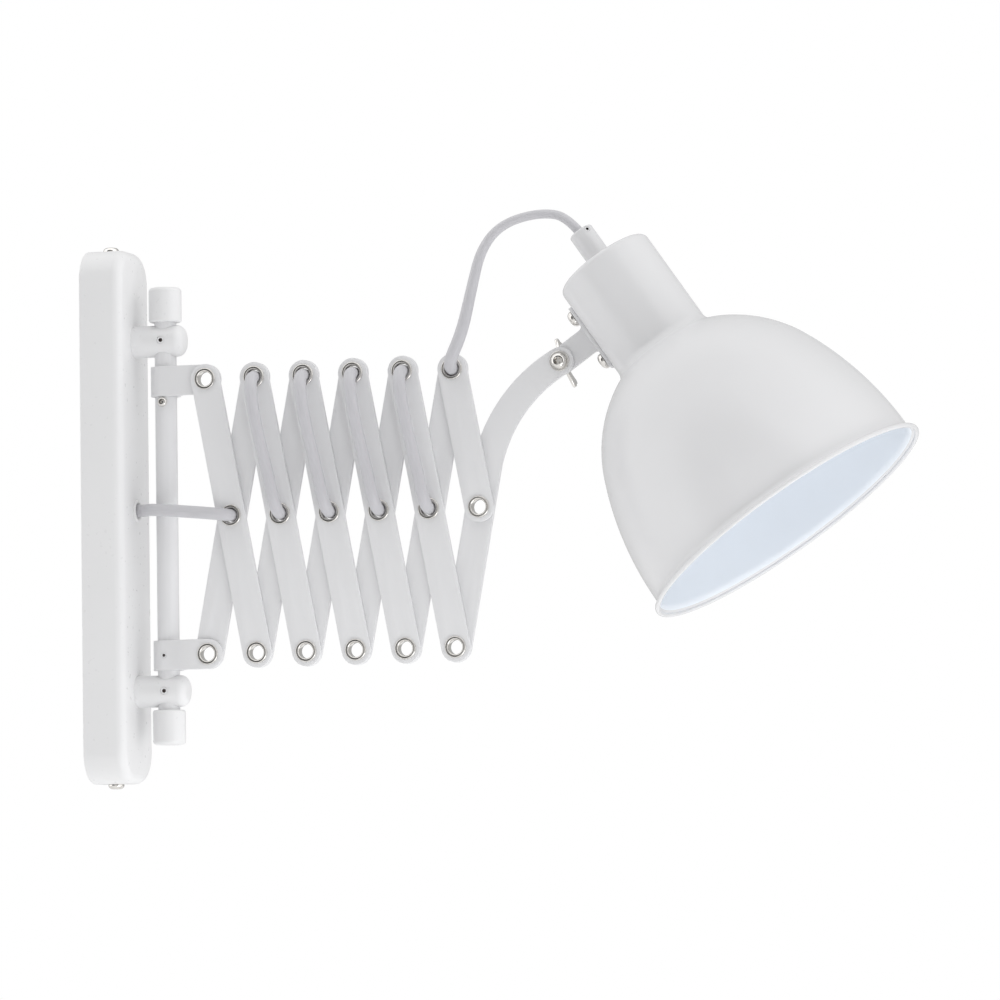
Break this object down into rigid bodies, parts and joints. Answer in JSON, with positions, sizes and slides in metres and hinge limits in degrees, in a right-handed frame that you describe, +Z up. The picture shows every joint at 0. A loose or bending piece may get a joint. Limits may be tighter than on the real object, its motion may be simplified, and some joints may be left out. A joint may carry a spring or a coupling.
{
  "type": "accordion wall lamp",
  "caption": "Wall lamp on a scissor arm of flat links: the arm swings on a rod, pulls out from the wall and carries a domed metal shade on a tilt joint.",
  "frame": {"origin": "centre of the wall bracket, on the wall plane, midway between its two screw slots", "axes": "+X out from the wall, +Z up, +Y towards the side away from the viewer of the near links"},
  "size_m": [0.4227, 0.1557, 0.2839],
  "materials": {
    "white_paint": "satin white powder coat",
    "grey_paint": "satin pale grey powder coat",
    "nickel": "nickel plated, polished",
    "zinc_steel": "zinc plated",
    "lead_sheath": "satin pale grey sheath",
    "pale_plastic": "matt off-white moulding",
    "brass_parts": "bright brass"
  },
  "bodies": {
    "wall_box": {"wall_bracket": "zinc_steel", "back_plate": "white_paint", "plate_screws": "nickel", "terminal_block": "pale_plastic", "terminal_screws": "brass_parts", "cord_clamp": "pale_plastic", "cable_grommet": "pale_plastic", "upper_post": "white_paint", "lower_post": "white_paint", "post_screws": "zinc_steel", "post_set_screws": "nickel", "swing_rod": "white_paint", "upper_knob": "white_paint", "lower_knob": "white_paint", "rod_stop_screw": "nickel", "cable_wall_run": "lead_sheath"},
    "swing_strap": {"upper_strap": "grey_paint"},
    "slide_strap": {"lower_strap": "grey_paint", "lower_strap_screw": "nickel", "lower_strap_eyelet": "nickel"},
    "front_1": {"front_link_1": "grey_paint", "eyelets_1": "nickel"},
    "rear_1": {"rear_link_1": "grey_paint", "cable_back_1": "lead_sheath"},
    "front_2": {"front_link_2": "grey_paint", "eyelets_2": "nickel", "cable_front_1": "lead_sheath"},
    "rear_2": {"rear_link_2": "grey_paint", "cable_back_2": "lead_sheath"},
    "front_3": {"front_link_3": "grey_paint", "eyelets_3": "nickel", "cable_front_2": "lead_sheath"},
    "rear_3": {"rear_link_3": "grey_paint", "cable_back_3": "lead_sheath"},
    "front_4": {"front_link_4": "grey_paint", "eyelets_4": "nickel", "cable_front_3": "lead_sheath"},
    "rear_4": {"rear_link_4": "grey_paint", "cable_back_4": "lead_sheath"},
    "front_5": {"front_link_5": "grey_paint", "eyelets_5": "nickel", "cable_front_4": "lead_sheath"},
    "rear_5": {"rear_link_5": "grey_paint", "cable_back_5": "lead_sheath"},
    "front_6": {"front_half_link": "grey_paint", "eyelets_6": "nickel"},
    "end_arm": {"curved_arm": "grey_paint", "cable_head_loop": "lead_sheath"},
    "head": {"lamp_shade": "white_paint", "head_strap": "grey_paint", "neck_screws": "nickel", "cable_gland": "white_paint", "gland_screw": "nickel", "lamp_holder": "pale_plastic", "holder_sleeve": "brass_parts", "centre_contact": "brass_parts", "tilt_bolt": "nickel", "tilt_washers": "nickel"},
    "tilt_nut": {"wing_nut": "nickel"}
  },
  "joints": [
    {"name": "arm_swing", "type": "hinge", "parent": "wall_box", "child": "swing_strap", "pos_m": [0.038, 0, 0.06735], "axis": [0, 0, 1], "range_deg": [-75, 75], "deforming": ["cable_wall_run"]},
    {"name": "arm_extend", "type": "hinge", "parent": "swing_strap", "child": "front_1", "pos_m": [0.062, -0.00765, 0.06735], "axis": [0, -1, 0], "range_deg": [-4.35, 31.38]},
    {"name": "cross_1", "type": "hinge", "parent": "front_1", "child": "rear_1", "pos_m": [0.0749, -0.00765, -0.00145], "axis": [0, -1, 0], "range_deg": [-62.76, 8.7]},
    {"name": "lower_strap_turn", "type": "hinge", "parent": "rear_1", "child": "slide_strap", "pos_m": [0.062, -0.00765, -0.07025], "axis": [0, -1, 0], "range_deg": [-4.35, 31.38]},
    {"name": "bottom_1", "type": "hinge", "parent": "front_1", "child": "rear_2", "pos_m": [0.0878, -0.00765, -0.07025], "axis": [0, -1, 0], "range_deg": [-62.76, 8.7]},
    {"name": "cross_2", "type": "hinge", "parent": "rear_2", "child": "front_2", "pos_m": [0.1007, -0.00765, -0.00145], "axis": [0, -1, 0], "range_deg": [-8.7, 62.76]},
    {"name": "top_2", "type": "hinge", "parent": "rear_2", "child": "front_3", "pos_m": [0.1136, -0.00765, 0.06735], "axis": [0, -1, 0], "range_deg": [-8.7, 62.76]},
    {"name": "cross_3", "type": "hinge", "parent": "front_3", "child": "rear_3", "pos_m": [0.1265, -0.00765, -0.00145], "axis": [0, -1, 0], "range_deg": [-62.76, 8.7]},
    {"name": "bottom_3", "type": "hinge", "parent": "front_3", "child": "rear_4", "pos_m": [0.1394, -0.00765, -0.07025], "axis": [0, -1, 0], "range_deg": [-62.76, 8.7]},
    {"name": "cross_4", "type": "hinge", "parent": "rear_4", "child": "front_4", "pos_m": [0.1523, -0.00765, -0.00145], "axis": [0, -1, 0], "range_deg": [-8.7, 62.76]},
    {"name": "top_4", "type": "hinge", "parent": "rear_4", "child": "front_5", "pos_m": [0.1652, -0.00765, 0.06735], "axis": [0, -1, 0], "range_deg": [-8.7, 62.76]},
    {"name": "cross_5", "type": "hinge", "parent": "front_5", "child": "rear_5", "pos_m": [0.1781, -0.00765, -0.00145], "axis": [0, -1, 0], "range_deg": [-62.76, 8.7]},
    {"name": "bottom_5", "type": "hinge", "parent": "front_5", "child": "end_arm", "pos_m": [0.191, -0.00765, -0.07025], "axis": [0, -1, 0], "range_deg": [-62.76, 8.7]},
    {"name": "cross_6", "type": "hinge", "parent": "end_arm", "child": "front_6", "pos_m": [0.2039, -0.00765, -0.00145], "axis": [0, -1, 0], "range_deg": [-8.7, 62.76]},
    {"name": "head_tilt", "type": "hinge", "parent": "end_arm", "child": "head", "pos_m": [0.24579, -0.00445, 0.0691], "axis": [0, -1, 0], "range_deg": [-35, 75], "deforming": ["cable_head_loop"]},
    {"name": "wing_nut_turn", "type": "hinge", "parent": "head", "child": "tilt_nut", "pos_m": [0.24579, -0.00445, 0.0691], "axis": [0, 1, 0], "range_deg": [0, 180]}
  ],
  "couplings": [
    {"joint": "cross_1", "follows": "arm_extend", "ratio": -2},
    {"joint": "lower_strap_turn", "follows": "arm_extend", "ratio": 1},
    {"joint": "bottom_1", "follows": "arm_extend", "ratio": -2},
    {"joint": "cross_2", "follows": "arm_extend", "ratio": 2},
    {"joint": "top_2", "follows": "arm_extend", "ratio": 2},
    {"joint": "cross_3", "follows": "arm_extend", "ratio": -2},
    {"joint": "bottom_3", "follows": "arm_extend", "ratio": -2},
    {"joint": "cross_4", "follows": "arm_extend", "ratio": 2},
    {"joint": "top_4", "follows": "arm_extend", "ratio": 2},
    {"joint": "cross_5", "follows": "arm_extend", "ratio": -2},
    {"joint": "bottom_5", "follows": "arm_extend", "ratio": -2},
    {"joint": "cross_6", "follows": "arm_extend", "ratio": 2}
  ]
}
